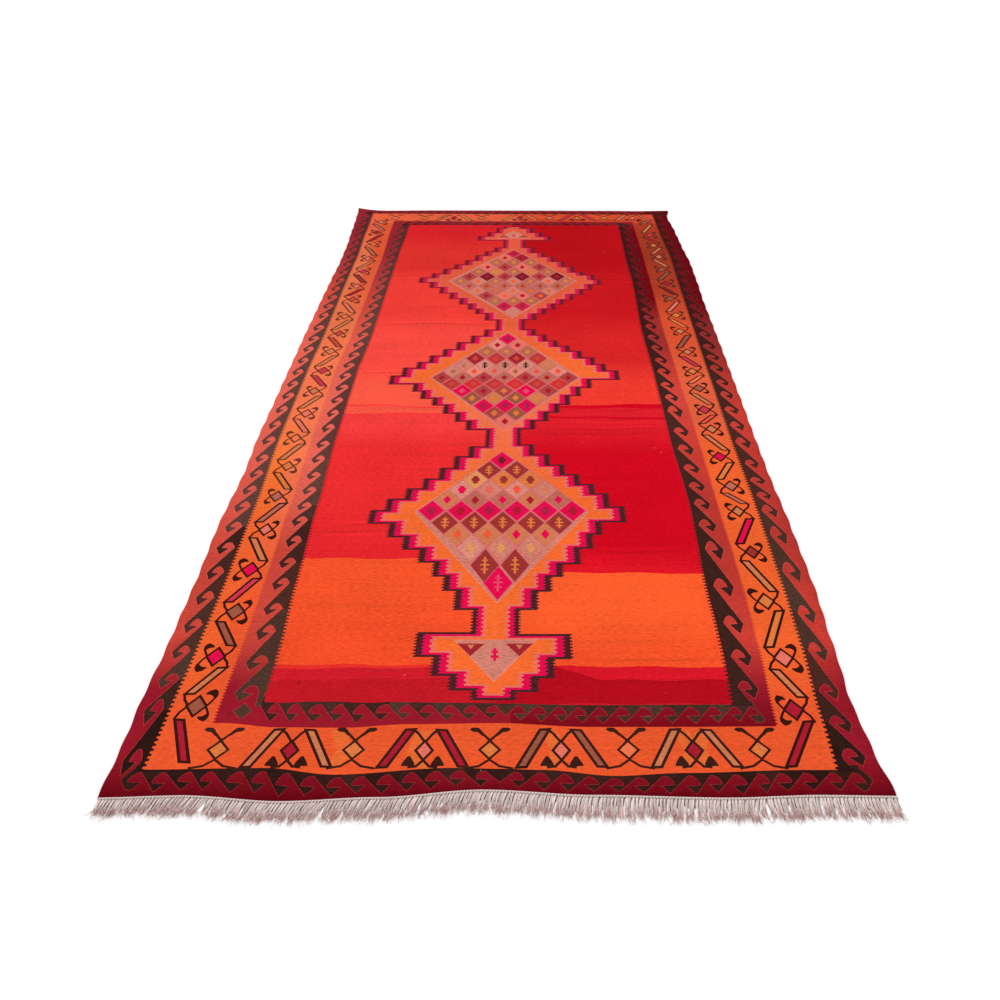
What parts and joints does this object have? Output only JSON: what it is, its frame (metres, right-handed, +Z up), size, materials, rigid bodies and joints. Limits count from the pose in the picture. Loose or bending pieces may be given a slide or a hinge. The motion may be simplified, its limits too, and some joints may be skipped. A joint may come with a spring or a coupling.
{
  "type": "kilim rug",
  "caption": "Long flat-woven kilim rug lying on the floor, with medallions and hooked borders woven in and a short warp fringe along one end.",
  "frame": {"origin": "centre of the rug's outer box, on the floor under the cloth", "axes": "+Z up, +Y along the rug away from the fringed end, +X across it to the right"},
  "size_m": [1.6818, 3.4818, 0.0168],
  "materials": {
    "kilim_cloth": "matt wool in slit tapestry weave: crimson, scarlet and orange field with walnut, magenta, gold and taupe motifs",
    "fringe_near": "matt undyed warp yarn, stained pale pink, with frayed beige ends"
  },
  "bodies": {
    "root": {"kilim_cloth": "kilim_cloth", "fringe_near": "fringe_near"}
  },
  "joints": []
}
